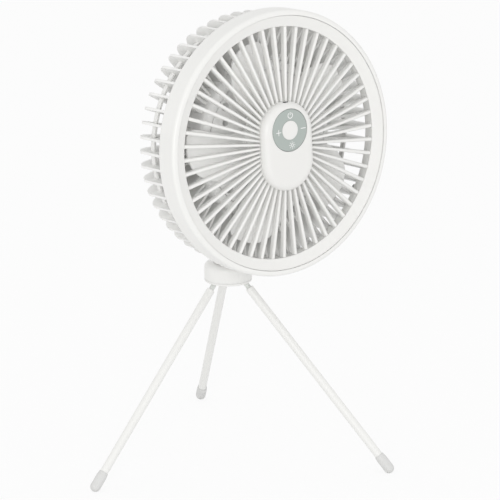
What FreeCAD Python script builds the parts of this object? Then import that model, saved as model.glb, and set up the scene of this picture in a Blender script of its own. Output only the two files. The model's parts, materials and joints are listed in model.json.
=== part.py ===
import FreeCAD, Part
import math
import os
import re
import types

import Sketcher

# Portable camping fan: a round drum head with a light ring, on a folding tripod.
# Head parts are drawn in a head frame: X to the right, Y up the face, Z out of the front,
# and "depth" is the distance behind the front rim plane, so Z = -depth.

doc = FreeCAD.newDocument("CampingFan")
V = FreeCAD.Vector
AXIS_X = V(1, 0, 0)
AXIS_Y = V(0, 1, 0)
AXIS_Z = V(0, 0, 1)

# Driving sizes, millimetres and degrees
SIZES = {
    # Fits and walls
    "fit": 0.05,
    "seat": 0.1,
    "free": 0.3,
    "wall": 2.2,
    # Drum rim and band
    "rim_radius": 100.0,
    "rim_width": 4.2,
    "rim_round": 2.4,
    "lip_depth": 2.6,
    "band_depth": 17.6,
    "band_wall": 2.4,
    "screw_inset": 3.6,
    "web_depth": 7.8,
    "web_wall": 2.0,
    # Light ring
    "light_width": 8.5,
    "light_gap": 0.2,
    "light_dish": 3.3,
    "light_front": 0.5,
    "light_wall": 1.5,
    "board_wall": 1.2,
    "chip_width": 3.2,
    "chip_height": 0.8,
    "chip_count": 36,
    # Front grille
    "collar_wall": 1.7,
    "collar_depth": 12.0,
    "spoke_count": 52,
    "spoke_outer_width": 2.9,
    "spoke_inner_width": 1.8,
    "spoke_thick": 4.5,
    "spoke_front": 4.1,
    "spoke_rise": 6.7,
    # Control panel
    "panel_half_width": 22.9,
    "panel_half_height": 33.6,
    "panel_drop": 1.1,
    "panel_back": 2.8,
    "panel_face": 9.2,
    "panel_round": 5.6,
    "panel_inner_round": 2.2,
    "panel_wall": 1.8,
    "tray_inset": 0.6,
    "tray_wall": 2.4,
    "tray_floor": 2.2,
    "ring_height": 11.5,
    "ring_radius": 15.8,
    "ring_inner": 7.15,
    "ring_lip": 0.9,
    "ring_flange": 1.3,
    "key_radius": 11.3,
    "key_travel": 0.6,
    "switch_width": 4.6,
    "switch_height": 3.0,
    "window_length": 4.4,
    "window_width": 2.0,
    # Impeller
    "blade_count": 5,
    "blade_gap": 9.8,
    "blade_thick": 1.6,
    "blade_mid_depth": 13.2,
    "blade_slope": 0.2,
    "hub_cup_radius": 25.0,
    "hub_cup_front": 6.6,
    "hub_cup_back": 18.6,
    "shaft_radius": 1.5,
    # Motor and pod
    "pod_front": 20.0,
    "pod_face_radius": 53.5,
    "pod_radius": 60.0,
    "pod_shoulder": 5.0,
    "pod_split": 38.0,
    "pod_back": 60.0,
    "pod_round": 4.0,
    "plate_gap": 0.5,
    "well_radius": 3.3,
    "small_well_radius": 2.6,
    "well_inset": 5.6,
    "small_well_inset": 11.6,
    "well_wall": 1.0,
    "well_depth": 7.0,
    "motor_radius": 15.5,
    "motor_length": 23.0,
    "cell_radius": 9.2,
    "cell_length": 65.0,
    "cell_gap": 4.5,
    "board_gap": 4.8,
    "board_stand": 5.2,
    "port_width": 8.9,
    "port_height": 3.2,
    "port_drop": 22.0,
    # Rear grille
    "fin_count": 54,
    "fin_first_deg": 5.3,
    "fin_thick": 2.0,
    "fin_inset": 4.8,
    "hoop_inset": 7.0,
    "fin_back": 57.2,
    "fin_corner": 12.0,
    "fin_root_depth": 26.0,
    "fin_clear": 2.5,
    "hoop_wall": 1.6,
    "hoop_depth": 38.2,
    "hoop_length": 4.2,
    "tab_thick": 2.4,
    # Tilt joint
    "tilt_deg": 4.6,
    "pivot_inset": 8.0,
    "pivot_depth": 73.0,
    "ear_radius": 6.0,
    "ear_thick": 4.0,
    "arm_width": 15.0,
    "arm_thick": 9.0,
    "tilt_washer": 0.6,
    "tilt_pin_radius": 2.0,
    # Stand
    "head_forward": 69.3,
    "head_height": 263.65,
    "hub_radius": 18.3,
    "hub_low": 140.9,
    "hub_high": 155.6,
    "hub_split": 143.0,
    "hub_round": 4.0,
    "hub_low_round": 1.0,
    "foot_circle": 130.9,
    "foot_radius": 4.0,
    "foot_flat": 0.4,
    "foot_length": 16.5,
    "leg_pivot_radius": 8.5,
    "leg_deg": 40.6,
    "leg_first_deg": -176.4,
    "neck_radius": 2.0,
    "neck_length": 13.2,
    "neck_hidden": 9.0,
    "tube_radius": 3.2,
    "leg_pin_radius": 1.0,
    "lug_thick": 1.8,
    "swivel_radius": 5.0,
    "swivel_disc": 11.5,
}

sheet = doc.addObject("Spreadsheet::Sheet", "Sizes")
for row, name in enumerate(SIZES, start=1):
    sheet.set("A%d" % row, name)
    sheet.set("B%d" % row, str(SIZES[name]))
    sheet.setAlias("B%d" % row, name)
doc.recompute()
s = types.SimpleNamespace(**SIZES)

# Frames of the moving groups
HEAD = FreeCAD.Placement(
    V(0, -s.head_forward, s.head_height),
    FreeCAD.Rotation(AXIS_X, 90 - s.tilt_deg),
)
STAND = FreeCAD.Placement()
LEG = math.radians(s.leg_deg)
PIVOT_HEIGHT = s.foot_radius - s.foot_flat + (s.foot_circle - s.leg_pivot_radius) / math.tan(LEG)
LEG_REACH = (s.foot_circle - s.leg_pivot_radius) / math.sin(LEG)
LEG_ANGLES = [s.leg_first_deg + 120 * k for k in range(3)]


def leg_frame(angle):
    turn = FreeCAD.Rotation(AXIS_Z, angle)
    lean = FreeCAD.Rotation(AXIS_Y, 180 - s.leg_deg)
    start = turn.multVec(V(s.leg_pivot_radius, 0, PIVOT_HEIGHT))
    return FreeCAD.Placement(start, turn.multiply(lean))


def sector_frame(angle):
    return FreeCAD.Placement(V(0, 0, 0), FreeCAD.Rotation(AXIS_Z, angle))


def head_point(x, up, depth):
    return HEAD.multVec(V(x, up, -depth))


PIVOT_DROP = s.pod_radius - s.pivot_inset
PIVOT = head_point(0, -PIVOT_DROP, s.pivot_depth)
nodes = []


def linked(text):
    # Turns "rim_radius - wall" into "Sizes.rim_radius - Sizes.wall"
    return re.sub(r"[a-z][a-z_]*", lambda word: "Sizes." + word.group(0), text)


def finish(obj, label, frame):
    obj.Label = label
    obj.Placement = frame.multiply(obj.Placement)
    nodes.append(obj)
    return obj


def role_plane(body, role):
    return [item for item in body.Origin.OriginFeatures if item.Role == role][0]


def outline(body, name, points, role="XZ_Plane"):
    # Closed polygon whose corners are held by expressions of the sheet
    sketch = body.newObject("Sketcher::SketchObject", name)
    sketch.AttachmentSupport = [(role_plane(body, role), "")]
    sketch.MapMode = "FlatFace"
    count = len(points)
    rough = []
    for k in range(count):
        turn = 2 * math.pi * k / count
        rough.append((50 + 30 * math.cos(turn), 30 * math.sin(turn)))
    for k in range(count):
        a = rough[k]
        b = rough[(k + 1) % count]
        sketch.addGeometry(Part.LineSegment(V(a[0], a[1], 0), V(b[0], b[1], 0)), False)
    for k in range(count):
        sketch.addConstraint(Sketcher.Constraint("Coincident", k, 2, (k + 1) % count, 1))
    for k, (across, along) in enumerate(points):
        for kind, start, text in (("DistanceX", rough[k][0], across), ("DistanceY", rough[k][1], along)):
            number = sketch.addConstraint(Sketcher.Constraint(kind, -1, 1, k, 1, start))
            sketch.setExpression("Constraints[%d]" % number, linked(text))
    return sketch


def edges_at(shape, spots):
    # Names of the round edges of a turned shape that pass through (radius, height) spots
    names = []
    for number, edge in enumerate(shape.Edges, start=1):
        curve = edge.Curve
        if not hasattr(curve, "Radius"):
            continue
        for radius, height in spots:
            if abs(curve.Radius - radius) < 0.01 and abs(curve.Center.z - height) < 0.01:
                names.append("Edge%d" % number)
    return names


def turned(label, frame, points, rounds=(), depth=True):
    # Solid of revolution about Z from (radius, depth) or (radius, height) corners
    body = doc.addObject("PartDesign::Body", label)
    sign = "-(%s)" if depth else "%s"
    sketch = outline(body, label + "_outline", [(across, sign % along) for across, along in points])
    turn = body.newObject("PartDesign::Revolution", label + "_turn")
    turn.Profile = sketch
    turn.ReferenceAxis = (sketch, ["V_Axis"])
    turn.Angle = 360
    doc.recompute()
    tip = turn
    for number, (radius, height, bend) in enumerate(rounds):
        spot = (radius, -height if depth else height)
        dress = body.newObject("PartDesign::Fillet", "%s_round_%d" % (label, number + 1))
        dress.Base = (tip, edges_at(tip.Shape, [spot]))
        dress.Radius = s.free
        dress.setExpression("Radius", linked(bend))
        doc.recompute()
        tip = dress
    body.Tip = tip
    return finish(body, label, frame)


def rod(name, radius, length, base=V(0, 0, 0), along=AXIS_Z):
    # Part::Cylinder from base along a direction, with its sizes bound to the sheet
    item = doc.addObject("Part::Cylinder", name)
    item.setExpression("Radius", linked(radius))
    item.setExpression("Height", linked(length))
    item.Placement = FreeCAD.Placement(base, FreeCAD.Rotation(AXIS_Z, along))
    return item


def block(name, sizes, centre_xy, low):
    # Part::Box centred on centre_xy, its lower face at low
    item = doc.addObject("Part::Box", name)
    for key, text in zip(("Length", "Width", "Height"), sizes):
        item.setExpression(key, linked(text))
    doc.recompute()
    item.Placement.Base = V(centre_xy[0] - item.Length.Value / 2, centre_xy[1] - item.Width.Value / 2, low)
    return item


def joined(name, items):
    item = doc.addObject("Part::MultiFuse", name)
    item.Shapes = items
    return item


def removed(name, base, tools):
    item = doc.addObject("Part::Cut", name)
    item.Base = base
    item.Tool = tools[0] if len(tools) == 1 else joined(name + "_tools", tools)
    return item


def shaped(label, frame, shape):
    # Part::Feature for lofted and repeated forms
    item = doc.addObject("Part::Feature", label)
    item.Shape = shape
    return finish(item, label, frame)


def grouped(label, frame, solids):
    return shaped(label, frame, Part.makeCompound(solids))


def around(shape, count, start=0.0):
    copies = []
    for k in range(count):
        copy = shape.copy()
        copy.rotate(V(0, 0, 0), AXIS_Z, start + 360.0 * k / count)
        copies.append(copy)
    return copies


def slot_wire(half_width, half_height, z):
    # Upright stadium, round ends up and down
    straight = half_height - half_width
    top = Part.Arc(V(half_width, straight, z), V(0, half_height, z), V(-half_width, straight, z)).toShape()
    left = Part.makeLine(V(-half_width, straight, z), V(-half_width, -straight, z))
    low = Part.Arc(V(-half_width, -straight, z), V(0, -half_height, z), V(half_width, -straight, z)).toShape()
    right = Part.makeLine(V(half_width, -straight, z), V(half_width, straight, z))
    return Part.Wire([top, left, low, right])


def slot_solid(half_width, half_height, z_low, z_high):
    return Part.Face(slot_wire(half_width, half_height, z_low)).extrude(V(0, 0, z_high - z_low))


def ring_solid(outer, inner, z_low, z_high):
    whole = Part.makeCylinder(outer, z_high - z_low, V(0, 0, z_low))
    return whole.cut(Part.makeCylinder(inner, z_high - z_low, V(0, 0, z_low)))


# Drum shell: rounded rim, smooth band and the web that carries the light ring
# Its screws sit midway between two rear fins
SCREW_CIRCLE = s.rim_radius - s.band_wall - s.screw_inset
FIN_PITCH = 360.0 / s.fin_count
SCREW_ANGLES = [s.fin_first_deg + 3.5 * FIN_PITCH + 60 * k for k in range(6)]
CAGE_FRONT = s.band_depth - s.tab_thick
LIGHT_IN = "rim_radius - rim_width - light_width"
LIGHT_INNER = s.rim_radius - s.rim_width - s.light_width
LIGHT_OUT = "rim_radius - rim_width - light_gap"
LIGHT_OUTER = s.rim_radius - s.rim_width - s.light_gap
shell = turned("front_shell_turned", STAND, [
    ("rim_radius", "0"),
    ("rim_radius", "band_depth"),
    ("rim_radius - band_wall", "band_depth"),
    ("rim_radius - band_wall", "web_depth + web_wall"),
    (LIGHT_IN + " + collar_wall + seat", "web_depth + web_wall"),
    (LIGHT_IN + " + collar_wall + seat", "web_depth"),
    ("rim_radius - band_wall", "web_depth"),
    ("rim_radius - band_wall", "lip_depth"),
    ("rim_radius - rim_width", "lip_depth"),
    ("rim_radius - rim_width", "0"),
], rounds=[(s.rim_radius, 0, "rim_round")])
nodes.remove(shell)
bosses = []
holes = []
for k, angle in enumerate(SCREW_ANGLES):
    spot = sector_frame(angle).multVec(V(SCREW_CIRCLE, 0, -CAGE_FRONT + s.seat))
    tall = "band_depth - tab_thick - seat - web_depth - web_wall / 2"
    bosses.append(rod("shell_boss_%d" % k, "band_wall + free", tall, spot))
    deep = "band_depth - tab_thick - seat - web_depth - web_wall"
    holes.append(rod("shell_hole_%d" % k, "shaft_radius - free", deep, spot))
finish(removed("front_shell", joined("shell_with_bosses", [shell] + bosses), holes), "front_shell", HEAD)

# Light ring: dished diffuser, ring board and its chips
turned("light_diffuser", HEAD, [
    (LIGHT_OUT, "light_front"),
    (LIGHT_OUT, "web_depth - board_wall - seat"),
    (LIGHT_OUT + " - light_wall", "web_depth - board_wall - seat"),
    (LIGHT_OUT + " - light_wall", "light_front + light_wall + free"),
    (LIGHT_IN, "light_front + light_dish + light_wall"),
    (LIGHT_IN, "light_front + light_dish"),
])
turned("led_board", HEAD, [
    (LIGHT_OUT, "web_depth - board_wall"),
    (LIGHT_OUT, "web_depth"),
    (LIGHT_IN + " + collar_wall + free", "web_depth"),
    (LIGHT_IN + " + collar_wall + free", "web_depth - board_wall"),
])
chip = Part.makeBox(
    s.chip_width / 2, s.chip_width, s.chip_height,
    V((LIGHT_OUTER + LIGHT_INNER) / 2, -s.chip_width / 2, -s.web_depth + s.board_wall),
)
grouped("led_chips", HEAD, around(chip, s.chip_count))

# Front grille: collar, straight tapered spokes and the tray behind the panel
COLLAR_OUTER = LIGHT_INNER + s.collar_wall
COLLAR_FRONT = s.light_front + s.light_dish + s.light_wall + s.seat
TRAY_HALF_WIDTH = s.panel_half_width - s.tray_inset
TRAY_HALF_HEIGHT = s.panel_half_height - s.tray_inset
TRAY_FRONT = -s.panel_back + s.seat
BOARD_FRONT = s.tray_floor - s.board_wall


def spoke_section(radius, width, front):
    # Round-fronted upright section in the plane at this radius
    half = width / 2
    back = -(front + s.spoke_thick)
    flank = -(front + half)
    nose = Part.Arc(V(radius, -half, flank), V(radius, 0, -front), V(radius, half, flank)).toShape()
    right = Part.makeLine(V(radius, half, flank), V(radius, half, back))
    base = Part.makeLine(V(radius, half, back), V(radius, -half, back))
    left = Part.makeLine(V(radius, -half, back), V(radius, -half, flank))
    return Part.Wire([nose, right, base, left])


spoke_start = LIGHT_INNER + s.collar_wall / 2
spoke_end = TRAY_HALF_WIDTH - 1.5
spoke = Part.makeLoft([
    spoke_section(spoke_start, s.spoke_outer_width, s.spoke_front),
    spoke_section(spoke_end, s.spoke_inner_width, s.spoke_front - s.spoke_rise),
], True, True)
collar = ring_solid(COLLAR_OUTER, LIGHT_INNER, -s.collar_depth, -COLLAR_FRONT)
diffuser_room = ring_solid(LIGHT_OUTER, LIGHT_INNER - s.seat, -COLLAR_FRONT, s.panel_face)
tray = slot_solid(TRAY_HALF_WIDTH, TRAY_HALF_HEIGHT, -s.tray_floor - s.web_wall, -TRAY_FRONT)
tray_pocket = slot_solid(
    TRAY_HALF_WIDTH - s.tray_wall, TRAY_HALF_HEIGHT - s.tray_wall,
    -s.tray_floor, -TRAY_FRONT + s.spoke_thick,
)
for panel_part in (tray, tray_pocket):
    panel_part.translate(V(0, -s.panel_drop, 0))
grille = collar.multiFuse([tray] + around(spoke, int(s.spoke_count)))
shaped("front_grille", HEAD, grille.cut(tray_pocket).cut(diffuser_room).removeSplitter())

# Control panel: domed cover, key ring with its centre disc, board and switches
cover = slot_solid(s.panel_half_width, s.panel_half_height, s.panel_back, s.panel_face)
front_edges = [edge for edge in cover.Edges if abs(edge.BoundBox.ZMin - s.panel_face) < 0.01]
cover = cover.makeFillet(s.panel_round, front_edges)
cover_space = slot_solid(
    s.panel_half_width - s.panel_wall, s.panel_half_height - s.panel_wall,
    s.panel_back, s.panel_face - s.panel_wall,
)
space_edges = [e for e in cover_space.Edges if abs(e.BoundBox.ZMin - s.panel_face + s.panel_wall) < 0.01]
cover_space = cover_space.makeFillet(s.panel_inner_round, space_edges)
ring_bore = Part.makeCylinder(s.ring_radius + s.free, s.panel_face, V(0, s.ring_height + s.panel_drop, 0))
panel_frame = HEAD.multiply(FreeCAD.Placement(V(0, -s.panel_drop, 0), FreeCAD.Rotation()))
WINDOW_DEPTH = s.panel_back + 2.2


def window_solid(margin, low, high):
    half = s.window_length / 2 - s.window_width / 2
    radius = s.window_width / 2 + margin
    solid = Part.makeBox(2 * half, high - low, 2 * radius, V(-half, low, WINDOW_DEPTH - radius))
    for side in (-half, half):
        end = Part.makeCylinder(radius, high - low, V(side, low, WINDOW_DEPTH), AXIS_Y)
        solid = solid.fuse(end)
    return solid.removeSplitter()


window_low = s.panel_half_height - s.panel_wall - s.seat
window_cut = window_solid(s.fit, window_low, s.panel_half_height + 1)
shaped("panel_cover", panel_frame, cover.cut(cover_space).cut(ring_bore).cut(window_cut))
shaped("receiver_window", panel_frame, window_solid(0, window_low, s.panel_half_height - s.seat))

RING_FRONT = s.panel_face + s.seat
FLANGE_FRONT = s.panel_face - s.panel_wall - s.seat
ring_frame = HEAD.multiply(FreeCAD.Placement(V(0, s.ring_height, 0), FreeCAD.Rotation()))
ring = ring_solid(s.ring_radius, s.ring_inner + s.fit, FLANGE_FRONT - s.ring_flange, RING_FRONT)
ring_low = FLANGE_FRONT - s.ring_flange
flange = ring_solid(s.ring_radius + s.ring_lip, s.ring_inner + s.fit, ring_low, FLANGE_FRONT)
stem_high = FLANGE_FRONT - s.ring_flange
SWITCH_TOP = -BOARD_FRONT + s.switch_height
stem = Part.makeCylinder(1.4, stem_high - SWITCH_TOP - s.key_travel - 0.6, V(s.key_radius, 0, 0))
stem.translate(V(0, 0, SWITCH_TOP + s.key_travel + 0.6))
outer_edges = []
for edge in ring.Edges:
    if abs(edge.BoundBox.ZMin - RING_FRONT) < 0.01 and edge.BoundBox.XMax > s.ring_radius - 0.1:
        outer_edges.append(edge)
ring = ring.makeFillet(0.5, outer_edges)
shaped("control_ring", ring_frame, ring.multiFuse([flange] + around(stem, 4, 90)).removeSplitter())
turned("centre_disc", ring_frame, [
    ("0", "-(panel_face + seat * 3)"),
    ("ring_inner", "-(panel_face + seat * 3)"),
    ("ring_inner", "-(panel_face - panel_wall - seat)"),
    ("0", "-(panel_face - panel_wall - seat)"),
])
board = slot_solid(
    TRAY_HALF_WIDTH - s.tray_wall - s.free, TRAY_HALF_HEIGHT - s.tray_wall - s.free,
    -s.tray_floor, -BOARD_FRONT,
)
shaped("control_board", panel_frame, board)
switch = Part.makeBox(
    s.switch_width, s.switch_width, s.switch_height - 0.5,
    V(s.key_radius - s.switch_width / 2, -s.switch_width / 2, -BOARD_FRONT),
)
switch = switch.fuse(Part.makeCylinder(1.2, s.switch_height, V(s.key_radius, 0, -BOARD_FRONT)))
grouped("key_switches", ring_frame, around(switch, 4, 90))

# Impeller: cup hub and five helical blades; the profile gives how far out from cup to
# tip, then the clockwise and counter-clockwise edge angles
BLADE_REACH = LIGHT_INNER - s.blade_gap - s.hub_cup_radius
blade_profile = (
    (-0.02, 16, 60),
    (0.21, 19, 62.5),
    (0.438, 20, 61.5),
    (0.629, 20, 57.5),
    (0.781, 20, 52),
    (0.886, 20.5, 47.5),
    (0.962, 22.5, 42),
    (1.0, 27, 36),
)


def blade_row(share, first, last):
    # Points along the blade's front face at one radius
    radius = s.hub_cup_radius + share * BLADE_REACH
    middle = 40.0
    row_points = []
    for k in range(5):
        angle = first + (last - first) * k / 4.0
        turn = math.radians(angle)
        depth = s.blade_mid_depth + s.blade_slope * (middle - angle) - s.blade_thick / 2
        row_points.append(V(radius * math.cos(turn), radius * math.sin(turn), -depth))
    return row_points


blade_face = Part.BSplineSurface()
blade_face.interpolate([blade_row(*profile_row) for profile_row in blade_profile])
blade = blade_face.toShape().extrude(V(0, 0, -s.blade_thick))
if blade.Volume < 0:
    blade.reverse()
cup_points = [
    V(0, 0, -s.hub_cup_front), V(s.hub_cup_radius - 4, 0, -s.hub_cup_front),
    V(s.hub_cup_radius, 0, -s.hub_cup_front - 4), V(s.hub_cup_radius, 0, -s.hub_cup_back),
    V(s.hub_cup_radius - s.wall, 0, -s.hub_cup_back),
    V(s.hub_cup_radius - s.wall, 0, -s.hub_cup_front - 5), V(4.5, 0, -s.hub_cup_front - 5),
    V(4.5, 0, -s.hub_cup_back), V(0, 0, -s.hub_cup_back), V(0, 0, -s.hub_cup_front),
]
cup = Part.Face(Part.makePolygon(cup_points)).revolve(V(0, 0, 0), AXIS_Z, 360)
if cup.Volume < 0:
    cup.reverse()
shaft_bore = Part.makeCylinder(s.shaft_radius + s.fit, 30, V(0, 0, -s.hub_cup_front - 25))
shaft_bore.translate(V(0, 0, 3))
impeller = cup.multiFuse(around(blade, int(s.blade_count))).cut(shaft_bore)
shaped("impeller", HEAD, impeller)
SHAFT_FRONT = s.hub_cup_front - 1.2
finish(rod("motor_shaft", "shaft_radius", "pod_front + motor_length - hub_cup_front",
           V(0, 0, -s.pod_front - s.motor_length + 1.2)), "motor_shaft", HEAD)

# Pod: motor plate, front and rear covers
plate = turned("motor_plate_turned", STAND, [
    ("shaft_radius * 4", "pod_front"),
    ("pod_face_radius - plate_gap", "pod_front"),
    ("pod_face_radius - plate_gap", "pod_front + wall"),
    ("shaft_radius * 4", "pod_front + wall"),
])
nodes.remove(plate)
WELLS = [
    (s.pod_face_radius - s.well_inset, 40.2, "well_radius"),
    (s.pod_face_radius - s.small_well_inset, 27.1, "small_well_radius"),
]
wells = []
cups = []
notches = []
for number, (circle, turn, bore) in enumerate(WELLS):
    for part, angle in enumerate((turn, 180 - turn, 180 + turn, -turn)):
        floor = sector_frame(angle).multVec(V(circle, 0, -s.pod_front - s.well_depth))
        below = floor - V(0, 0, s.well_wall)
        mark = "%d_%d" % (number, part)
        cups.append(rod("cup_" + mark, bore + " + well_wall", "well_depth + well_wall - wall / 2", below))
        wells.append(rod("well_" + mark, bore, "well_depth * 2", floor))
        notches.append(rod("notch_" + mark, bore + " + well_wall + free", "pod_shoulder + free * 2",
                           V(floor.x, floor.y, -s.pod_front - s.wall - s.pod_shoulder - s.free)))
MOTOR_SCREW_CIRCLE = 11.0
for k in range(3):
    spot = sector_frame(90 + 120 * k).multVec(V(MOTOR_SCREW_CIRCLE, 0, -s.pod_front - s.wall))
    wells.append(rod("motor_screw_hole_%d" % k, "shaft_radius + fit", "wall * 2", spot))
finish(removed("motor_plate", joined("plate_with_cups", [plate] + cups), wells), "motor_plate", HEAD)
front = turned("pod_front_turned", STAND, [
    ("pod_face_radius", "pod_front"),
    ("pod_radius", "pod_front"),
    ("pod_radius", "pod_split"),
    ("pod_radius - wall", "pod_split"),
    ("pod_radius - wall", "pod_front + wall + pod_shoulder"),
    ("pod_face_radius - 3", "pod_front + wall + pod_shoulder"),
    ("pod_face_radius - 3", "pod_front + wall"),
    ("pod_face_radius", "pod_front + wall"),
], rounds=[(s.pod_radius, s.pod_front, "pod_shoulder")])
nodes.remove(front)
POD_SCREW_CIRCLE = s.pod_radius - s.wall - s.screw_inset + 1
POD_SCREWS = [sector_frame(45 + 90 * k).multVec(V(POD_SCREW_CIRCLE, 0, 0)) for k in range(4)]
front_bosses = []
front_bores = []
for number, spot in enumerate(POD_SCREWS):
    low = V(spot.x, spot.y, -s.pod_split)
    tall = "pod_split - pod_front - wall - pod_shoulder / 2"
    front_bosses.append(rod("front_boss_%d" % number, "band_wall + free * 2", tall, low))
    front_bores.append(rod("front_bore_%d" % number, "shaft_radius + fit", "pod_shoulder * 2", low))
front_solid = joined("pod_front_solid", [front] + front_bosses)
finish(removed("pod_front_cover", front_solid, front_bores + notches), "pod_front_cover", HEAD)

BACK_INNER = s.pod_back - s.wall
rear = turned("pod_rear_turned", STAND, [
    ("pod_radius", "pod_split"),
    ("pod_radius", "pod_back"),
    ("0", "pod_back"),
    ("0", "pod_back - wall"),
    ("pod_radius - wall", "pod_back - wall"),
    ("pod_radius - wall", "pod_split"),
], rounds=[(s.pod_radius, s.pod_back, "pod_round")])
nodes.remove(rear)
EAR_X = s.arm_width / 2 + s.tilt_washer
rear_adds = []
rear_cuts = []
for side in (-1, 1):
    start = V(EAR_X if side > 0 else -EAR_X - s.ear_thick, -PIVOT_DROP, -s.pivot_depth)
    eye = rod("ear_eye_%d" % (side + 1), "ear_radius", "ear_thick", start, AXIS_X)
    stem_sizes = ("ear_thick", "ear_radius * 2", "pivot_depth - pod_back + wall")
    stem_spot = (start.x + s.ear_thick / 2, -PIVOT_DROP)
    stem_block = block("ear_stem_%d" % (side + 1), stem_sizes, stem_spot, -s.pivot_depth)
    rear_adds += [eye, stem_block]
rear_cuts.append(rod("ear_bore", "tilt_pin_radius + fit", "arm_width + ear_thick * 4",
                     V(-s.arm_width / 2 - s.ear_thick * 2, -PIVOT_DROP, -s.pivot_depth), AXIS_X))
CELL_REACH = s.pod_radius - s.wall - s.cell_gap
CELL_OFFSET = math.sqrt(CELL_REACH ** 2 - (s.cell_length / 2) ** 2) - s.cell_radius
BOARD_HALF = CELL_OFFSET - s.cell_radius - s.board_gap
BOARD_TALL = s.pod_radius / 2
BOARD_SPOTS = [(x, y) for x in (3 - BOARD_HALF, BOARD_HALF - 3) for y in (4 - BOARD_TALL, BOARD_TALL - 4)]
BOARD_BACK = BACK_INNER - s.board_stand
for number, (x, y) in enumerate(BOARD_SPOTS):
    rear_adds.append(rod("board_boss_%d" % number, "wall", "wall + board_stand", V(x, y, -s.pod_back)))
port_slot = block("port_slot", ("port_width + free * 2", "port_height + free * 2", "wall * 3"),
                  (0, -s.port_drop), -s.pod_back - s.wall)
rear_cuts.append(port_slot)
for number, spot in enumerate(POD_SCREWS):
    low = V(spot.x, spot.y, -s.pod_back + s.free)
    tall = "pod_back - pod_split - free"
    rear_adds.append(rod("pod_boss_%d" % number, "band_wall + free * 2", tall, low))
    rear_cuts.append(rod("pod_bore_%d" % number, "shaft_radius + fit", "pod_back",
                         V(spot.x, spot.y, -s.pod_back - s.wall)))
    rear_cuts.append(rod("pod_sink_%d" % number, "shaft_radius * 2", "wall + free * 2",
                         V(spot.x, spot.y, -s.pod_back - s.wall)))
finish(removed("pod_rear_cover", joined("pod_rear_solid", [rear] + rear_adds), rear_cuts),
       "pod_rear_cover", HEAD)

# Inside the pod: motor, battery cells, main board and charging port
motor = Part.makeCylinder(s.motor_radius, s.motor_length, V(0, 0, -s.pod_front - s.wall - s.motor_length))
motor_nose = Part.makeCylinder(s.shaft_radius * 3, s.wall, V(0, 0, -s.pod_front - s.wall))
motor_bore = Part.makeCylinder(s.shaft_radius + s.fit, s.pod_back, V(0, 0, -s.pod_back))
motor_all = motor.fuse(motor_nose).cut(motor_bore)
screw_bores = []
for k in range(3):
    spot = sector_frame(90 + 120 * k).multVec(V(MOTOR_SCREW_CIRCLE, 0, -s.pod_front - s.wall - 4))
    screw_bores.append(Part.makeCylinder(s.shaft_radius + s.fit, 8, spot))
shaped("motor_body", HEAD, motor_all.cut(Part.makeCompound(screw_bores)))
cells = []
for side in (-1, 1):
    start = V(side * CELL_OFFSET, -s.cell_length / 2, -BACK_INNER + s.cell_radius + s.free)
    cells.append(Part.makeCylinder(s.cell_radius, s.cell_length, start, AXIS_Y))
grouped("battery_cells", HEAD, cells)
main_board = Part.makeBox(
    2 * BOARD_HALF, 2 * BOARD_TALL, s.board_wall, V(-BOARD_HALF, -BOARD_TALL, -BOARD_BACK + s.seat),
)
shaped("main_board", HEAD, main_board)
port = Part.makeBox(s.port_width, s.port_height, s.pod_back - BOARD_BACK,
                    V(-s.port_width / 2, -s.port_drop - s.port_height / 2, -s.pod_back))
port = port.makeFillet(s.port_height / 2 - 0.1, [e for e in port.Edges if e.BoundBox.ZLength > 2])
port_mouth = Part.makeBox(s.port_width - 0.8, s.port_height - 0.8, 6,
                          V(-s.port_width / 2 + 0.4, -s.port_drop - s.port_height / 2 + 0.4, -s.pod_back))
tongue = Part.makeBox(s.port_width - 2.4, 0.7, 5,
                      V(-s.port_width / 2 + 1.2, -s.port_drop - 0.35, -s.pod_back + 1))
shaped("charge_port", HEAD, port.cut(port_mouth).fuse(tongue))

# Rear grille: radial fins that turn over the rear corner, and the rings that join them
# The front ring sits inside the band's rear edge
FIN_INNER = s.pod_radius + s.seat
FIN_OUTER = s.rim_radius - s.fin_inset
CAGE_OUTER = s.rim_radius - s.band_wall - s.free


def fin_face():
    # A deep plate from the band's rear ring to the pod, its front edge clear of the impeller
    outer = FIN_OUTER
    back = s.fin_back
    corner = s.fin_corner
    bend = corner * math.sqrt(0.5)
    knee = s.hub_cup_radius + BLADE_REACH + s.fin_clear

    def at(radius, depth):
        return V(radius, 0, -depth)

    corner_mid = at(outer - corner + bend, back - corner + bend)
    spots = [
        at(outer - corner, back), at(FIN_INNER, back + 1.5), at(FIN_INNER, s.fin_root_depth),
        at(knee, s.hub_cup_back + s.fin_clear / 2), at(outer - s.hoop_wall / 2, CAGE_FRONT),
        at(outer, CAGE_FRONT), at(outer, back - corner),
    ]
    sides = [Part.makeLine(a, b) for a, b in zip(spots, spots[1:])]
    sides.append(Part.Arc(spots[-1], corner_mid, spots[0]).toShape())
    return Part.Face(Part.Wire(sides))


fin = fin_face().extrude(V(0, s.fin_thick, 0))
fin.translate(V(0, -s.fin_thick / 2, 0))
CAGE_BACK = CAGE_FRONT + s.tab_thick
HOOP_INNER = FIN_OUTER - s.hoop_inset
front_ring = ring_solid(CAGE_OUTER, FIN_OUTER - s.hoop_wall, -CAGE_BACK, -CAGE_FRONT)
hoop = ring_solid(HOOP_INNER + s.hoop_wall, HOOP_INNER, -s.hoop_depth - s.hoop_length, -s.hoop_depth)
pod_ring = ring_solid(FIN_INNER + s.wall, FIN_INNER, -s.fin_back - 1.5, -s.fin_back + s.hoop_inset)
tabs = []
tab_holes = []
for angle in SCREW_ANGLES:
    spot = sector_frame(angle).multVec(V(SCREW_CIRCLE, 0, -CAGE_BACK))
    tabs.append(Part.makeCylinder(CAGE_OUTER - SCREW_CIRCLE - s.seat, s.tab_thick, spot))
    tab_holes.append(Part.makeCylinder(s.shaft_radius + s.fit, 12, spot - V(0, 0, 4)))
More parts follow.
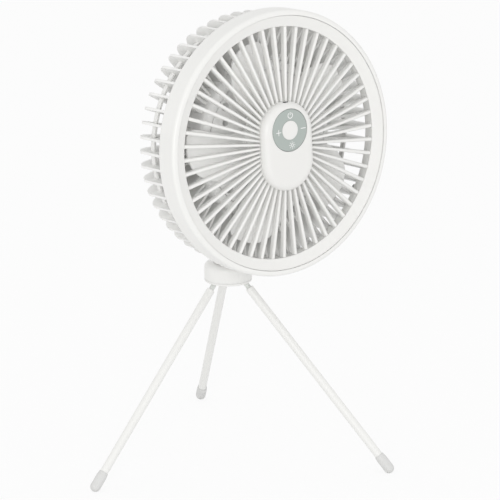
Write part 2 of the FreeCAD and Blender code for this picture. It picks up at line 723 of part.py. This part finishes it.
cage = front_ring.multiFuse([hoop, pod_ring] + tabs + around(fin, int(s.fin_count), s.fin_first_deg))
shaped("rear_grille", HEAD, cage.cut(Part.makeCompound(tab_holes)))


def screw_solid(shank, length, head, head_height):
    # Head up, shank down from the origin
    body = Part.makeCylinder(shank, length, V(0, 0, -length))
    cap = Part.makeCylinder(head, head_height)
    socket = Part.makeCylinder(head * 0.45, head_height * 0.6, V(0, 0, head_height * 0.4))
    return body.fuse(cap).cut(socket)


def screws_at(spots, shank, length, head, head_height, flip):
    result = []
    for spot in spots:
        one = screw_solid(shank, length, head, head_height)
        if flip:
            one.rotate(V(0, 0, 0), AXIS_X, 180)
        one.translate(spot)
        result.append(one)
    return result


shell_spots = [sector_frame(a).multVec(V(SCREW_CIRCLE, 0, -CAGE_BACK)) for a in SCREW_ANGLES]
grouped("shell_screws", HEAD, screws_at(shell_spots, s.shaft_radius - s.free - s.fit, 7, 2.6, 1.8, True))
pod_spots = [V(p.x, p.y, -s.pod_back + s.free * 2) for p in POD_SCREWS]
pod_reach = s.pod_back - s.pod_split + s.pod_shoulder
grouped("pod_screws", HEAD, screws_at(pod_spots, s.shaft_radius, pod_reach, 2.6, 1.4, True))
motor_spots = [sector_frame(90 + 120 * k).multVec(V(MOTOR_SCREW_CIRCLE, 0, -s.pod_front)) for k in range(3)]
grouped("motor_screws", HEAD, screws_at(motor_spots, s.shaft_radius, 5.8, 2.6, 0.9, False))

# Tilt arm on the hub, with its pin, washers and swivel parts
ARM_LOW = s.hub_high + s.free
pivot_y = PIVOT.y
pivot_z = PIVOT.z
half_arm = s.arm_width / 2
arm_disc = Part.makeCylinder(s.swivel_disc, 3.0, V(0, 0, ARM_LOW))
arm_eye = Part.makeCylinder(s.ear_radius, s.arm_width, V(-half_arm, pivot_y, pivot_z), AXIS_X)
stem_points = [
    V(-half_arm, -s.arm_thick / 2, ARM_LOW + 1), V(-half_arm, s.arm_thick / 2, ARM_LOW + 1),
    V(-half_arm, pivot_y + s.ear_radius - 1, pivot_z), V(-half_arm, pivot_y - s.ear_radius + 1, pivot_z),
    V(-half_arm, -s.arm_thick / 2, ARM_LOW + 1),
]
arm_stem = Part.Face(Part.makePolygon(stem_points)).extrude(V(s.arm_width, 0, 0))
POST = s.wall + 2 * s.free
swivel_post = Part.makeCylinder(s.swivel_radius - s.fit, POST, V(0, 0, ARM_LOW - POST))
arm = arm_disc.multiFuse([arm_eye, arm_stem, swivel_post])
arm_bore = Part.makeCylinder(s.tilt_pin_radius + s.fit, s.arm_width * 2, V(-s.arm_width, pivot_y, pivot_z), AXIS_X)
post_bore = Part.makeCylinder(s.shaft_radius - s.free, 9, V(0, 0, ARM_LOW - 5))
shaped("tilt_arm", STAND, arm.cut(arm_bore).cut(post_bore).removeSplitter())
pin_half = EAR_X + s.ear_thick
pin = Part.makeCylinder(s.tilt_pin_radius, 2 * pin_half, V(-pin_half, pivot_y, pivot_z), AXIS_X)
pin_head = Part.makeCylinder(s.tilt_pin_radius + 1.6, 1.4, V(pin_half + s.seat, pivot_y, pivot_z), AXIS_X)
pin_tip = Part.makeCylinder(s.tilt_pin_radius + 1.2, 1.0, V(-pin_half - s.seat - 1.0, pivot_y, pivot_z), AXIS_X)
pin_core = Part.makeCylinder(s.tilt_pin_radius, 2 * pin_half + 1, V(-pin_half - 0.5, pivot_y, pivot_z), AXIS_X)
shaped("tilt_pin", STAND, pin.multiFuse([pin_head, pin_tip, pin_core]).removeSplitter())
washers = []
for side in (-1, 1):
    start = half_arm + s.seat if side > 0 else -half_arm - s.tilt_washer + s.seat
    washer = Part.makeCylinder(s.ear_radius - 1, s.tilt_washer - 2 * s.seat, V(start, pivot_y, pivot_z), AXIS_X)
    hole = Part.makeCylinder(s.tilt_pin_radius + s.fit, 2, V(start - 0.5, pivot_y, pivot_z), AXIS_X)
    washers.append(washer.cut(hole))
grouped("tilt_washers", STAND, washers)
WASHER_TOP = ARM_LOW - POST
swivel_washer = ring_solid(s.swivel_radius + 2.4, s.shaft_radius + s.fit, WASHER_TOP - 0.8, WASHER_TOP)
shaped("swivel_washer", STAND, swivel_washer)
swivel_screw = screws_at([V(0, 0, WASHER_TOP - 0.8)], s.shaft_radius - s.free - s.fit, 6, 3.0, 1.4, True)
shaped("swivel_screw", STAND, swivel_screw[0])

# Tripod hub: cap, slotted base with hinge lugs, pins and screws
hub_shell = turned("hub_shell_turned", STAND, [
    ("swivel_radius", "hub_high"),
    ("hub_radius", "hub_high"),
    ("hub_radius", "hub_split"),
    ("hub_radius - wall", "hub_split"),
    ("hub_radius - wall", "hub_high - wall"),
    ("swivel_radius", "hub_high - wall"),
], rounds=[(s.hub_radius, s.hub_high, "hub_round")], depth=False)
nodes.remove(hub_shell)
HUB_SCREWS = [sector_frame(angle + 60).multVec(V(s.hub_radius - s.wall - 1.9, 0, 0)) for angle in LEG_ANGLES]
hub_bosses = []
hub_bores = []
for number, spot in enumerate(HUB_SCREWS):
    low = V(spot.x, spot.y, s.hub_split)
    hub_bosses.append(rod("hub_boss_%d" % number, "band_wall", "hub_high - hub_split - wall / 2", low))
    hub_bores.append(rod("hub_bore_%d" % number, "leg_pin_radius", "hub_high - hub_split - wall * 2", low))
finish(removed("hub_shell", joined("hub_shell_solid", [hub_shell] + hub_bosses), hub_bores), "hub_shell", STAND)

hub_base = Part.makeCylinder(s.hub_radius, s.hub_split - s.hub_low - s.seat, V(0, 0, s.hub_low))
low_edges = [e for e in hub_base.Edges if e.BoundBox.ZMax < s.hub_low + 0.01]
hub_base = hub_base.makeFillet(s.hub_low_round, low_edges)
spigot = ring_solid(s.hub_radius - s.wall - s.seat, s.hub_radius - s.wall - 1.4, s.hub_split - 0.5, s.hub_split + 1.2)
EYE_HALF = s.neck_radius
LUG_GAP = EYE_HALF + s.free
lugs = []
slots = []
bores = []
pins = []
for angle in LEG_ANGLES:
    turn = sector_frame(angle)
    for side in (-1, 1):
        low = LUG_GAP if side > 0 else -LUG_GAP - s.lug_thick
        lug = Part.makeBox(5.2, s.lug_thick, PIVOT_HEIGHT - s.hub_low,
                           V(s.leg_pivot_radius - 2.6, low, s.hub_low + 1))
        lug.Placement = turn.multiply(lug.Placement)
        lugs.append(lug)
    inner = s.leg_pivot_radius - s.neck_radius - s.free
    slot_end = s.leg_pivot_radius + (PIVOT_HEIGHT - s.hub_low) * math.tan(LEG) + s.neck_radius / math.cos(LEG)
    slot = Part.makeBox(slot_end + s.free - inner, 2 * LUG_GAP, 9, V(inner, -LUG_GAP, s.hub_low - 4))
    slot.Placement = turn.multiply(slot.Placement)
    slots.append(slot)
    reach = LUG_GAP + s.lug_thick
    bore = Part.makeCylinder(s.leg_pin_radius + s.fit, 2 * reach + 2,
                             V(s.leg_pivot_radius, -reach - 1, PIVOT_HEIGHT), AXIS_Y)
    bore.Placement = turn.multiply(bore.Placement)
    bores.append(bore)
    hinge_pin = Part.makeCylinder(s.leg_pin_radius, 2 * reach,
                                  V(s.leg_pivot_radius, -reach, PIVOT_HEIGHT), AXIS_Y)
    hinge_pin.Placement = turn.multiply(hinge_pin.Placement)
    pins.append(hinge_pin)
screw_holes = []
for spot in HUB_SCREWS:
    screw_holes.append(Part.makeCylinder(s.leg_pin_radius + s.fit, 9, V(spot.x, spot.y, s.hub_low - 1)))
    screw_holes.append(Part.makeCylinder(2.2, 1.2, V(spot.x, spot.y, s.hub_low - 0.2)))
    screw_holes.append(Part.makeCylinder(s.band_wall + s.free, 4, V(spot.x, spot.y, s.hub_split - s.seat)))
base_solid = hub_base.multiFuse([spigot] + lugs)
base_solid = base_solid.cut(Part.makeCompound(slots)).cut(Part.makeCompound(bores))
base_solid = base_solid.cut(Part.makeCompound(screw_holes))
shaped("hub_base", STAND, base_solid)
grouped("leg_pins", STAND, pins)
hub_spots = [V(p.x, p.y, s.hub_low + 1.0) for p in HUB_SCREWS]
grouped("hub_screws", STAND, screws_at(hub_spots, s.leg_pin_radius - s.fit, 6, 2.0, 0.8, True))

# Legs: hinge neck, tube and rounded foot cap; each is drawn along its own Z from the hinge
FOOT_CENTRE = LEG_REACH
for number, angle in enumerate(LEG_ANGLES, start=1):
    frame = leg_frame(angle)
    eye = Part.makeCylinder(s.neck_radius + 0.5, 2 * EYE_HALF, V(0, -EYE_HALF, 0), AXIS_Y)
    neck = Part.makeCylinder(s.neck_radius, s.neck_length + s.neck_hidden)
    eye_bore = Part.makeCylinder(s.leg_pin_radius + s.fit, 8, V(0, -4, 0), AXIS_Y)
    shaped("leg_neck_%d" % number, frame, eye.fuse(neck).cut(eye_bore))
    tube_end = FOOT_CENTRE - s.foot_length / 2
    tube = ring_solid(s.tube_radius, s.neck_radius + s.fit, s.neck_length, tube_end + 6)
    rims = [e for e in tube.Edges if hasattr(e.Curve, "Radius") and abs(e.Curve.Radius - s.tube_radius) < 0.01
            and abs(e.Curve.Center.z - s.neck_length) < 0.01]
    shaped("leg_tube_%d" % number, frame, tube.makeFillet(0.6, rims))
    foot_start = FOOT_CENTRE + s.foot_radius - s.foot_length
    foot_side = [
        V(0, 0, foot_start), V(s.tube_radius + 0.3, 0, foot_start),
        V(s.foot_radius, 0, foot_start + 3.5), V(s.foot_radius, 0, FOOT_CENTRE),
    ]
    side_wire = [
        Part.makeLine(foot_side[0], foot_side[1]),
        Part.makeLine(foot_side[1], foot_side[2]),
        Part.makeLine(foot_side[2], foot_side[3]),
        Part.Arc(foot_side[3], V(s.foot_radius * math.sqrt(0.5), 0, FOOT_CENTRE + s.foot_radius * math.sqrt(0.5)),
                 V(0, 0, FOOT_CENTRE + s.foot_radius)).toShape(),
        Part.makeLine(V(0, 0, FOOT_CENTRE + s.foot_radius), foot_side[0]),
    ]
    foot = Part.Face(Part.Wire(side_wire)).revolve(V(0, 0, 0), AXIS_Z, 360)
    if foot.Volume < 0:
        foot.reverse()
    socket_depth = tube_end + 6 + s.seat - foot_start
    foot = foot.cut(Part.makeCylinder(s.tube_radius + s.fit, socket_depth, V(0, 0, foot_start)))
    foot_spot = frame.multVec(V(0, 0, FOOT_CENTRE))
    floor_block = Part.makeBox(40, 40, 20)
    floor_frame = FreeCAD.Placement(V(foot_spot.x - 20, foot_spot.y - 20, -20), FreeCAD.Rotation())
    floor_block.Placement = frame.inverse().multiply(floor_frame)
    shaped("foot_cap_%d" % number, frame, foot.cut(floor_block))

doc.recompute()

# Origin: the middle of the bottom of the whole part's bounding box
box = FreeCAD.BoundBox()
for item in nodes:
    box.add(item.Shape.optimalBoundingBox(False, False))
shift = FreeCAD.Placement(V(-box.Center.x, -box.Center.y, -box.ZMin), FreeCAD.Rotation())
for item in nodes:
    item.Placement = shift.multiply(item.Placement)
doc.recompute()

for item in doc.Objects:
    for word in item.State:
        if word in ("Invalid", "Error"):
            raise RuntimeError("%s is %s" % (item.Label, word))

os.makedirs("parts", exist_ok=True)
for item in nodes:
    shape = item.Shape
    if shape.isNull() or not shape.isValid() or shape.Volume <= 0 or not shape.Solids:
        raise RuntimeError("%s has no good shape" % item.Label)
    shape.exportStep("parts/%s.step" % item.Label)
    print("%-18s solids %3d volume %10.1f" % (item.Label, len(shape.Solids), shape.Volume))
print("shift", shift.Base, "pivot", PIVOT + shift.Base, "box", box.XLength, box.YLength, box.ZLength)
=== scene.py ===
import json
import math

import bmesh
import bpy
from mathutils import Matrix, Vector


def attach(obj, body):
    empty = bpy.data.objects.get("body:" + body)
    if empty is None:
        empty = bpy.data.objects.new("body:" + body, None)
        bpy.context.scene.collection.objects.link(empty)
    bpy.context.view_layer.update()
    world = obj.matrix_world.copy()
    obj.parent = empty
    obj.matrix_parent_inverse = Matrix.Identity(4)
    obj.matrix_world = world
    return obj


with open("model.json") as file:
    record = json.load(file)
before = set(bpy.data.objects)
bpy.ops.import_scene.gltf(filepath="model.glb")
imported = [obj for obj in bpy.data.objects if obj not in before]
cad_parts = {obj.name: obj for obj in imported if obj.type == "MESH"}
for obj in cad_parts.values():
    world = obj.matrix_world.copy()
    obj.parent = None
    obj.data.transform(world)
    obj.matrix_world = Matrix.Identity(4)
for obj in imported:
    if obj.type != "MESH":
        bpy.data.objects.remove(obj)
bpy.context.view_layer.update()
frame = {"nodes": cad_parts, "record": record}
nodes = frame["nodes"]
MM = 0.001

# Surface detail, in metres: the height of the fine grain and the rounding of moulded and metal edges
GRAIN = 0.00002
MOULDED_EDGE = 0.0005
METAL_EDGE = 0.0002
SCATTER_REACH = (0.003, 0.003, 0.003)

# White of the shell and the tubes, and the slightly darker tone it drifts to
WHITE = (0.84, 0.838, 0.818)
WHITE_SHADE = (0.825, 0.823, 0.803)

# Head frame: X right, Y up the face, Z out of the front, origin at the rim plane's centre
HEAD_CENTRE = Vector((17.3208, -73.4096, 263.65))
HEAD_TURN = math.radians(85.4)
HEAD = (Matrix.Translation(HEAD_CENTRE * MM)
        @ Matrix.Rotation(HEAD_TURN, 4, "X") @ Matrix.Scale(MM, 4))

# Key ring's centre height and face in the head frame, and its symbols' sizes, in millimetres
RING_UP = 11.5
RING_FACE = 9.3
SYMBOL_SUNK = 0.05
SYMBOL_RAISED = 0.05
STROKE = 0.6
SIGN_LENGTH = 4.5
POWER_RADIUS = 2.1
POWER_BAR = 2.4
POWER_BAR_UP = 1.45
LAMP_RADIUS = 1.0
LAMP_STROKE = 0.5
RAY_COUNT = 8
RAY_REACH = 2.25
RAY_LENGTH = 1.0
RAY_STROKE = 0.42

# Studio, in metres: the floor's edges, how much of the floor is plain white to the eye, and the light
FLOOR_LEFT = -6
FLOOR_RIGHT = 6
FLOOR_NEAR = -4
FLOOR_FAR = 9
FLOOR_GREY = 0.9
FLOOR_SHARE = 0.85
SKY_STRENGTH = 0.88
LIGHT_AIM = (0.02, 0, 0.2)

# Camera, in metres and degrees
AIM = Vector((38.23 * MM, -4.11 * MM, 161.07 * MM))
AZ = math.radians(-36.63)
EL = math.radians(16.65)
REACH = 2.69205
LENS = 252.0
SENSOR = 36.0
CLIP_END = 50


# Material building blocks

def new_material(name):
    mat = bpy.data.materials.new(name)
    mat.use_nodes = True
    tree = mat.node_tree
    return mat, tree, tree.nodes["Principled BSDF"]


def add(tree, kind, **settings):
    node = tree.nodes.new(kind)
    for key, value in settings.items():
        setattr(node, key, value)
    return node


def noise(tree, scale, detail):
    coords = add(tree, "ShaderNodeTexCoord")
    node = add(tree, "ShaderNodeTexNoise")
    node.inputs["Scale"].default_value = scale
    node.inputs["Detail"].default_value = detail
    node.inputs["Roughness"].default_value = 0.55
    tree.links.new(coords.outputs["Object"], node.inputs["Vector"])
    return node.outputs["Fac"]


def tinted(tree, shader, source, shade, color):
    # Base colour that drifts between two near tones
    node = add(tree, "ShaderNodeValToRGB")
    low, high = node.color_ramp.elements
    low.position = 0.3
    low.color = (*shade, 1)
    high.position = 0.7
    high.color = (*color, 1)
    tree.links.new(source, node.inputs["Fac"])
    tree.links.new(node.outputs["Color"], shader.inputs["Base Color"])


def roughened(tree, shader, source, low, high):
    node = add(tree, "ShaderNodeMapRange")
    node.inputs["To Min"].default_value = low
    node.inputs["To Max"].default_value = high
    tree.links.new(source, node.inputs["Value"])
    tree.links.new(node.outputs["Result"], shader.inputs["Roughness"])


def surface_normal(tree, shader, height, strength, edge):
    # Fine bump, over a rounded-edge normal where the piece has one
    bump = add(tree, "ShaderNodeBump")
    bump.inputs["Strength"].default_value = strength
    bump.inputs["Distance"].default_value = GRAIN
    tree.links.new(height, bump.inputs["Height"])
    if edge:
        bevel = add(tree, "ShaderNodeBevel", samples=4)
        bevel.inputs["Radius"].default_value = edge
        tree.links.new(bevel.outputs["Normal"], bump.inputs["Normal"])
    tree.links.new(bump.outputs["Normal"], shader.inputs["Normal"])


def plastic(name, color, shade, rough, edge=MOULDED_EDGE, scatter=0.0):
    mat, tree, shader = new_material(name)
    broad = noise(tree, 18.0, 4.0)
    fine = noise(tree, 1400.0, 2.0)
    tinted(tree, shader, broad, shade, color)
    roughened(tree, shader, broad, rough - 0.05, rough + 0.06)
    surface_normal(tree, shader, fine, 0.25, edge)
    if scatter:
        shader.inputs["Subsurface Weight"].default_value = scatter
        shader.inputs["Subsurface Radius"].default_value = SCATTER_REACH
        shader.inputs["Subsurface Scale"].default_value = 1.0
    return mat


def metal(name, color, rough):
    mat, tree, shader = new_material(name)
    broad = noise(tree, 120.0, 4.0)
    fine = noise(tree, 2600.0, 2.0)
    tinted(tree, shader, broad, tuple(c * 0.82 for c in color), color)
    roughened(tree, shader, broad, rough - 0.08, rough + 0.08)
    shader.inputs["Metallic"].default_value = 1.0
    surface_normal(tree, shader, fine, 0.3, METAL_EDGE)
    return mat


# One material for each slot of the record

MATERIALS = {
    "shell_white": plastic("shell_white", WHITE, WHITE_SHADE, 0.36),
    # Whiter than the shell: painted light that brightens the shaded inside of the drum
    "impeller_white": plastic("impeller_white", (0.93, 0.928, 0.915), (0.915, 0.913, 0.90), 0.42),
    "diffuser": plastic("diffuser", (0.84, 0.837, 0.815), (0.83, 0.826, 0.804), 0.5, scatter=0.15),
    "ring_grey": plastic("ring_grey", (0.41, 0.455, 0.43), (0.39, 0.435, 0.41), 0.45),
    "circuit_board": plastic("circuit_board", (0.03, 0.16, 0.07), (0.02, 0.12, 0.05), 0.45),
    "led_yellow": plastic("led_yellow", (0.8, 0.62, 0.12), (0.75, 0.55, 0.1), 0.4),
    "switch_black": plastic("switch_black", (0.02, 0.02, 0.02), (0.015, 0.015, 0.015), 0.4),
    "window_dark": plastic("window_dark", (0.02, 0.02, 0.025), (0.015, 0.015, 0.02), 0.2),
    "motor_steel": metal("motor_steel", (0.55, 0.56, 0.57), 0.35),
    "cell_wrap": plastic("cell_wrap", (0.05, 0.16, 0.4), (0.04, 0.13, 0.35), 0.35),
    "port_steel": metal("port_steel", (0.6, 0.6, 0.61), 0.3),
    "tube_white": plastic("tube_white", WHITE, WHITE_SHADE, 0.42),
    "neck_grey": plastic("neck_grey", (0.70, 0.715, 0.69), (0.66, 0.68, 0.65), 0.35, scatter=0.2),
    "foot_white": plastic("foot_white", (0.70, 0.70, 0.69), (0.67, 0.67, 0.66), 0.6),
    "washer_nylon": plastic("washer_nylon", (0.6, 0.6, 0.58), (0.57, 0.57, 0.55), 0.5),
    "screw_steel": metal("screw_steel", (0.5, 0.5, 0.51), 0.35),
}

# The cage and the impeller are whiter than the shell, as painted light that lifts the shaded inside of the
# drum; the panel is a slightly darker white, and what is inside the drum matches the impeller
CAGE_PAINTED_LIGHT_WHITE = plastic("cage_painted_light_white", (0.88, 0.878, 0.862), (0.865, 0.863, 0.847), 0.42)
PANEL_WHITE = plastic("panel_white", (0.805, 0.80, 0.78), (0.79, 0.785, 0.765), 0.34)
SYMBOL_WHITE = plastic("symbol_white", (0.85, 0.85, 0.84), (0.83, 0.83, 0.82), 0.5, edge=0)
SPECIAL = {
    "rear_grille": CAGE_PAINTED_LIGHT_WHITE,
    "pod_rear_cover": CAGE_PAINTED_LIGHT_WHITE,
    "pod_front_cover": MATERIALS["impeller_white"],
    "motor_plate": MATERIALS["impeller_white"],
    "panel_cover": PANEL_WHITE,
    "centre_disc": PANEL_WHITE,
}
slot_of = {part["node"]: part["material_slot"] for part in frame["record"]["subparts"]}
for name, obj in nodes.items():
    obj.data.materials.clear()
    obj.data.materials.append(SPECIAL.get(name, MATERIALS[slot_of[name]]))


# Symbols on the key ring

def raised(name, outlines, body, material):
    # Thin plates raised from outlines in the head's face plane
    bm = bmesh.new()
    for points in outlines:
        verts = [bm.verts.new((x, y, RING_FACE - SYMBOL_SUNK)) for x, y in points]
        face = bm.faces.new(verts)
        if face.normal.z > 0:
            face.normal_flip()
        lifted = bmesh.ops.extrude_face_region(bm, geom=[face])
        for item in lifted["geom"]:
            if isinstance(item, bmesh.types.BMVert):
                item.co.z = RING_FACE + SYMBOL_RAISED
    bmesh.ops.recalc_face_normals(bm, faces=bm.faces)
    bm.transform(HEAD)
    mesh = bpy.data.meshes.new(name)
    bm.to_mesh(mesh)
    bm.free()
    obj = bpy.data.objects.new(name, mesh)
    bpy.context.scene.collection.objects.link(obj)
    mesh.materials.append(material)
    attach(obj, body)


def bar(cx, cy, width, height, turn=0.0):
    cosine = math.cos(turn)
    sine = math.sin(turn)
    points = []
    for side, end in ((-1, -1), (1, -1), (1, 1), (-1, 1)):
        x = side * width / 2
        y = end * height / 2
        points.append((cx + x * cosine - y * sine, cy + x * sine + y * cosine))
    return points


def arc_strip(cx, cy, radius, width, start, end, steps=20):
    outer = []
    inner = []
    for k in range(steps + 1):
        turn = math.radians(start + (end - start) * k / steps)
        cosine = math.cos(turn)
        sine = math.sin(turn)
        outer.append((cx + (radius + width / 2) * cosine, cy + (radius + width / 2) * sine))
        inner.append((cx + (radius - width / 2) * cosine, cy + (radius - width / 2) * sine))
    return outer + inner[::-1]


def power_mark(cx, cy):
    ring = arc_strip(cx, cy, POWER_RADIUS, STROKE, 125, 415)
    return [ring, bar(cx, cy + POWER_BAR_UP, STROKE, POWER_BAR)]


def plus_mark(cx, cy):
    # One bar across, and an arm above and below it
    arm = (SIGN_LENGTH - STROKE) / 2
    up = (STROKE + arm) / 2
    return [bar(cx, cy, SIGN_LENGTH, STROKE), bar(cx, cy + up, STROKE, arm), bar(cx, cy - up, STROKE, arm)]


def minus_mark(cx, cy):
    return [bar(cx, cy, SIGN_LENGTH, STROKE)]


def light_mark(cx, cy):
    # Two half rings with rays around them
    outlines = [arc_strip(cx, cy, LAMP_RADIUS, LAMP_STROKE, start, start + 179) for start in (0, 180)]
    for k in range(RAY_COUNT):
        turn = 2 * math.pi * k / RAY_COUNT
        x = cx + RAY_REACH * math.cos(turn)
        y = cy + RAY_REACH * math.sin(turn)
        outlines.append(bar(x, y, RAY_LENGTH, RAY_STROKE, turn))
    return outlines


# Centres as they lie on the ring, top, left, right and bottom
SYMBOLS = {
    "symbol_power": power_mark(0.85, RING_UP + 11.0),
    "symbol_plus": plus_mark(-10.4, RING_UP - 0.6),
    "symbol_minus": minus_mark(12.3, RING_UP - 0.2),
    "symbol_light": light_mark(1.5, RING_UP - 11.4),
}
for name, outlines in SYMBOLS.items():
    raised(name, outlines, "keys", SYMBOL_WHITE)


# Floor, light and camera

def seen_share(tree, share):
    # The share of plain white that a ray from the camera, a reflection or a clear piece gets
    path = add(tree, "ShaderNodeLightPath")
    total = path.outputs["Is Camera Ray"]
    for kind in ("Is Glossy Ray", "Is Transmission Ray"):
        both = add(tree, "ShaderNodeMath", operation="MAXIMUM")
        tree.links.new(total, both.inputs[0])
        tree.links.new(path.outputs[kind], both.inputs[1])
        total = both.outputs["Value"]
    scaled = add(tree, "ShaderNodeMath", operation="MULTIPLY")
    scaled.inputs[1].default_value = share
    tree.links.new(total, scaled.inputs[0])
    return scaled.outputs["Value"]


def mixed(tree, share, plain, white, target):
    mix = add(tree, "ShaderNodeMixShader")
    tree.links.new(seen_share(tree, share), mix.inputs["Fac"])
    tree.links.new(plain, mix.inputs[1])
    tree.links.new(white, mix.inputs[2])
    tree.links.new(mix.outputs["Shader"], target)


def pale_floor():
    corners = [(FLOOR_LEFT, FLOOR_NEAR, 0), (FLOOR_RIGHT, FLOOR_NEAR, 0),
               (FLOOR_RIGHT, FLOOR_FAR, 0), (FLOOR_LEFT, FLOOR_FAR, 0)]
    mesh = bpy.data.meshes.new("floor")
    mesh.from_pydata(corners, [], [(0, 1, 2, 3)])
    floor = bpy.data.objects.new("floor", mesh)
    bpy.context.scene.collection.objects.link(floor)
    mat, tree, shader = new_material("floor_white")
    shader.inputs["Base Color"].default_value = (FLOOR_GREY, FLOOR_GREY, FLOOR_GREY, 1)
    shader.inputs["Roughness"].default_value = 0.9
    glow = add(tree, "ShaderNodeEmission")
    glow.inputs["Color"].default_value = (1, 1, 1, 1)
    glow.inputs["Strength"].default_value = 1.0
    surface = tree.nodes["Material Output"].inputs["Surface"]
    mixed(tree, FLOOR_SHARE, shader.outputs["BSDF"], glow.outputs["Emission"], surface)
    mesh.materials.append(mat)


def studio():
    world = bpy.data.worlds.new("studio")
    bpy.context.scene.world = world
    world.use_nodes = True
    tree = world.node_tree
    sky = tree.nodes["Background"]
    sky.inputs["Color"].default_value = (1, 1, 1, 1)
    sky.inputs["Strength"].default_value = SKY_STRENGTH
    backdrop = add(tree, "ShaderNodeBackground")
    backdrop.inputs["Color"].default_value = (1, 1, 1, 1)
    backdrop.inputs["Strength"].default_value = 1.0
    surface = tree.nodes["World Output"].inputs["Surface"]
    mixed(tree, 1.0, sky.outputs["Background"], backdrop.outputs["Background"], surface)


def area_light(name, place, size, power):
    data = bpy.data.lights.new(name, "AREA")
    data.shape = "SQUARE"
    data.size = size
    data.energy = power
    lamp = bpy.data.objects.new(name, data)
    bpy.context.scene.collection.objects.link(lamp)
    lamp.location = place
    lamp.rotation_euler = (Vector(LIGHT_AIM) - Vector(place)).to_track_quat("-Z", "Y").to_euler()


def matched_camera():
    away = Vector((math.sin(AZ) * math.cos(EL), -math.cos(AZ) * math.cos(EL), math.sin(EL)))
    lens = bpy.data.cameras.new("camera")
    lens.lens = LENS
    lens.sensor_width = SENSOR
    lens.clip_end = CLIP_END
    camera = bpy.data.objects.new("camera", lens)
    bpy.context.scene.collection.objects.link(camera)
    camera.location = AIM + away * REACH
    camera.rotation_euler = (-away).to_track_quat("-Z", "Y").to_euler()
    bpy.context.scene.camera = camera


pale_floor()
studio()
area_light("key", (-1.6, -1.75, 0.75), 0.9, 13)
area_light("fill", (1.2, -1.9, 0.5), 1.2, 1.5)
matched_camera()
bpy.context.scene.view_settings.view_transform = "Standard"
